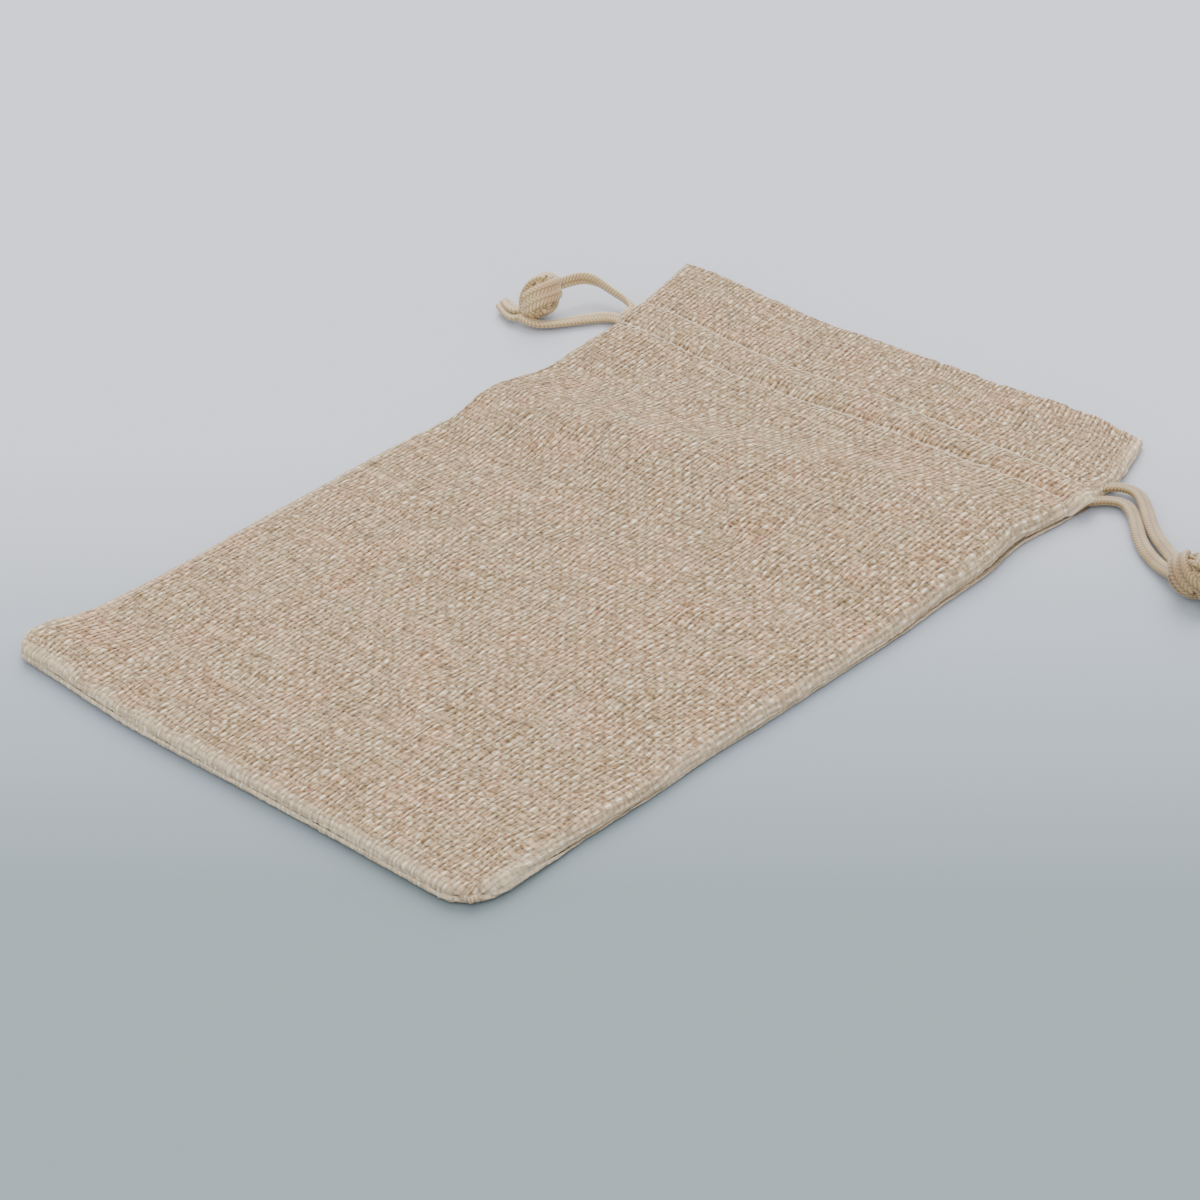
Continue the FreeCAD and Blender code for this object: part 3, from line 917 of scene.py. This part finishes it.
def cord_material(word, dark, light):
    """Smooth hollow braid: fine yarns run along each slanting stitch, with painted shade between
    them.
    """
    net = Net(word + "_cord_braid")
    across, along, lump = net.split(net.attribute("braid"))
    slant = net.add(along, net.multiply(net.math("ABSOLUTE", across), BRAID_SLANT * BRAID_PITCH))
    yarn_place = net.vector(net.multiply(across, 3.0), net.multiply(slant, 7.0), 0.0)
    yarn = net.noise(yarn_place, 1.0, 3.0, 0.6)
    tone = net.ramp(yarn, [(0.3, dark), (0.7, light)])
    drift_share = net.noise(net.vector(net.multiply(along, 0.16), 0.0, 2.0), 1.0, 2.0)
    drift_tone = net.ramp(drift_share, [(0.35, colour(240, 222, 205)),
                                        (0.65, colour(250, 250, 222))])
    tone = net.mix(1.0, tone, drift_tone, "MULTIPLY")
    # Painted shade: the braid is darkened where its relief is low, between stitches, along its
    # middle and at its sides.
    painted_gap_shade = net.ramp(lump, [(-0.05, colour(156, 134, 102)), (0.45, WHITE)])
    tone = net.mix(0.75, tone, painted_gap_shade, "MULTIPLY")
    net.surface(tone, Roughness=0.5, Specular_IOR_Level=0.4, Sheen_Weight=0.25)
    net.bump(net.add(net.multiply(lump, 0.6), net.multiply(yarn, 0.5)), 0.6, 0.00016)
    return net.material


def floor_material():
    """Plain floor, with painted light that makes it a little lighter towards the back of the
    studio.
    """
    net = Net("floor_with_painted_light")
    x, y, _ = net.split(net.tree.nodes.new("ShaderNodeTexCoord").outputs["Object"])
    back = net.add(net.multiply(x, FLOOR_BACK[0]), net.multiply(y, FLOOR_BACK[1]))
    share = net.divide(net.add(back, FLOOR_START), FLOOR_FADE, clamp=True)
    tone = net.ramp(share, [(0.0, colour(124, 135, 138)), (1.0, colour(190, 191, 198)),
                            (0.35, colour(147, 156, 164))])
    net.surface(tone, Roughness=0.75, Specular_IOR_Level=0.1)
    return net.material


# ---- building ---------------------------------------------------------------------------
def make_cord_side(side, material):
    """One cord with its knot, tails and the runs that it has inside the channel."""
    if side < 0:
        word, routes = "left", (LEFT_FRONT_ROUTE, LEFT_BACK_ROUTE)
        centre, axis, ends = LEFT_KNOT, LEFT_KNOT_AXIS, LEFT_TAILS
    else:
        word, routes = "right", (RIGHT_FRONT_ROUTE, RIGHT_BACK_ROUTE)
        centre, axis, ends = RIGHT_KNOT, RIGHT_KNOT_AXIS, RIGHT_TAILS
    body = word + "_cord"
    knot = make_knot(word + "_knot_braid", centre, axis)
    finish_piece(knot, [body + "_knot"], body, material)
    tails = make_tails(word + "_tail_ends", ends)
    finish_piece(tails, [body + "_tails"], body, material)
    for kind, route in zip(("front", "back"), routes):
        line = route_line(word + kind, route)
        edge_on = 1.35 if (word, kind) == ("left", "front") else 0.0
        piece = braid_piece(
            word + "_" + kind + "_strand_braid", line,
            twist=lambda t: edge_on * smooth((t - 0.25) / 0.25) + 0.25 * np.sin(9 * t))
        finish_piece(piece, [body + "_" + kind + "_strand"], body, material)
    make_hidden_runs(side, word, body, material)


def make_hidden_runs(side, word, body, material):
    """The cord inside the channel: the lengths that the pull draws out, the run in the front
    half, and the turn at the other side's slit."""
    lane = LEFT_LANE if side < 0 else RIGHT_LANE
    start = side * STRAND_START_X
    ends = ((lane, -side * BEND_X), (SPARE_LANE, side * SPARE_END_X))
    parts = []
    for k, (y, far) in enumerate(ends):
        line = even_steps(np.array([(start, y, CORD_FLAT), (far, y, CORD_FLAT)]), 0.4)
        parts.append(braid_piece(word + "_run" + str(k), line))
    run = join_pieces(word + "_back_run_braid", parts)
    finish_piece(run, [body + "_back_run"], body, material)

    u = np.linspace(side * 58.0, -side * BEND_X, 290)
    y = np.full_like(u, lane)
    z = front_height(u, y + 2.4) - 1.15
    front = braid_piece(word + "_front_run_braid", np.stack([u, y, z], -1), CORD_W, 1.0)
    finish_piece(front, [body + "_front_run"], "lens", material)

    t = np.linspace(-math.pi / 2, math.pi / 2, 40)
    low, high = CORD_FLAT, float(z[-1])
    middle, radius = (low + high) / 2, (high - low) / 2
    x = -side * (BEND_X + radius * np.cos(t) * 1.2)
    bend = np.stack([x, np.full_like(x, lane), middle + radius * np.sin(t)], -1)
    turn = closed_bend(word + "_far_bend_braid", bend)
    finish_piece(turn, [body + "_far_bend"], "root", material)


def closed_bend(name, line):
    """A short upright turn of the braid, flat side outwards."""
    way = unit(np.gradient(line, axis=0))
    across = np.array([0.0, 1.0, 0.0])
    out = np.cross(way, across)
    section = ring(CORD_W, 1.0, 16)
    rings = line[:, None] + across * section[None, :, :1] + out[:, None] * section[None, :, 1:]
    return plain_braid(closed_tube(name, rings), 0.6)


def make_threads(material):
    for word, row in (("lower", lower_row), ("upper", upper_row)):
        make_stitch_row("front_row_" + word, "front_channel_stitch_" + word, row, front_height,
                        "lens", material)
        make_stitch_row("back_row_" + word, "back_channel_stitch_" + word, row, back_hem_height,
                        "root", material)
    for side, word in ((-1, "left"), (1, "right")):
        v = np.arange(LOW_V + 8, HEM_END_V - 2, 0.5)
        seam = np.column_stack([np.full_like(v, side * (HALF_U - 3.6)), v,
                                2.3 + 0.1 * np.sin(v * 2.1)])
        make_seam_thread(word + "_seam_thread", word + "_side_stitch", seam, material)
        inner = side * (HALF_U - 2.4 - ALLOWANCE)
        edge = zigzag((inner, LOW_V + 10), (inner, HEM_END_V - 2), (side, 0))
        make_seam_thread(word + "_overlock_thread", word + "_overlock", edge, material)
    u = np.arange(-HALF_U + 10, HALF_U - 10, 0.5)
    seam = np.column_stack([u, np.full_like(u, LOW_V + 3.6), 2.3 + 0.1 * np.sin(u * 2.1)])
    make_seam_thread("bottom_seam_thread", "bottom_stitch", seam, material)
    level = LOW_V + 2.4 + ALLOWANCE
    edge = zigzag((-HALF_U + 10, level), (HALF_U - 10, level), (0, -1))
    make_seam_thread("bottom_overlock_thread", "bottom_overlock", edge, material)


def make_stage():
    bpy.ops.mesh.primitive_plane_add(size=6, location=(0, 0, FLOOR_Z))
    floor = bpy.context.object
    floor.name = "floor"
    floor.data.materials.append(floor_material())
    world = bpy.data.worlds.new("studio")
    bpy.context.scene.world = world
    world.use_nodes = True
    background = world.node_tree.nodes["Background"]
    background.inputs[0].default_value = WORLD_TINT
    background.inputs[1].default_value = WORLD_STRENGTH
    for sun in SUNS:
        add_sun(*sun)


def add_sun(name, place, strength, softness, tint):
    data = bpy.data.lights.new(name, "SUN")
    data.energy = strength
    data.angle = math.radians(softness)
    data.color = tint
    light = bpy.data.objects.new(name, data)
    bpy.context.scene.collection.objects.link(light)
    light.location = place
    light.rotation_mode = "QUATERNION"
    light.rotation_quaternion = (-Vector(place)).to_track_quat("-Z", "Y")


make_camera()
# The two cords are one braid: the left is painted lighter and the right darker, as painted light
# and shade for how each lies in the light.
make_cord_side(-1, cord_material("left", colour(190, 166, 130), colour(220, 200, 164)))
make_cord_side(1, cord_material("right", colour(152, 131, 97), colour(186, 164, 126)))
cloth = cloth_material()
front_cloth = make_front_panel(cloth)
back_cloth = make_back_panel(cloth)
make_hem("front_hem_cloth", "front_hem", front_hem_height, FRONT_HEM_LOT, "lens", cloth)
make_hem("back_hem_cloth", "back_hem", back_hem_height, BACK_HEM_LOT, "root", cloth)
for sewn_side in (-1, 0, 1):
    make_allowance(sewn_side, cloth)
make_threads(thread_material())
make_stage()
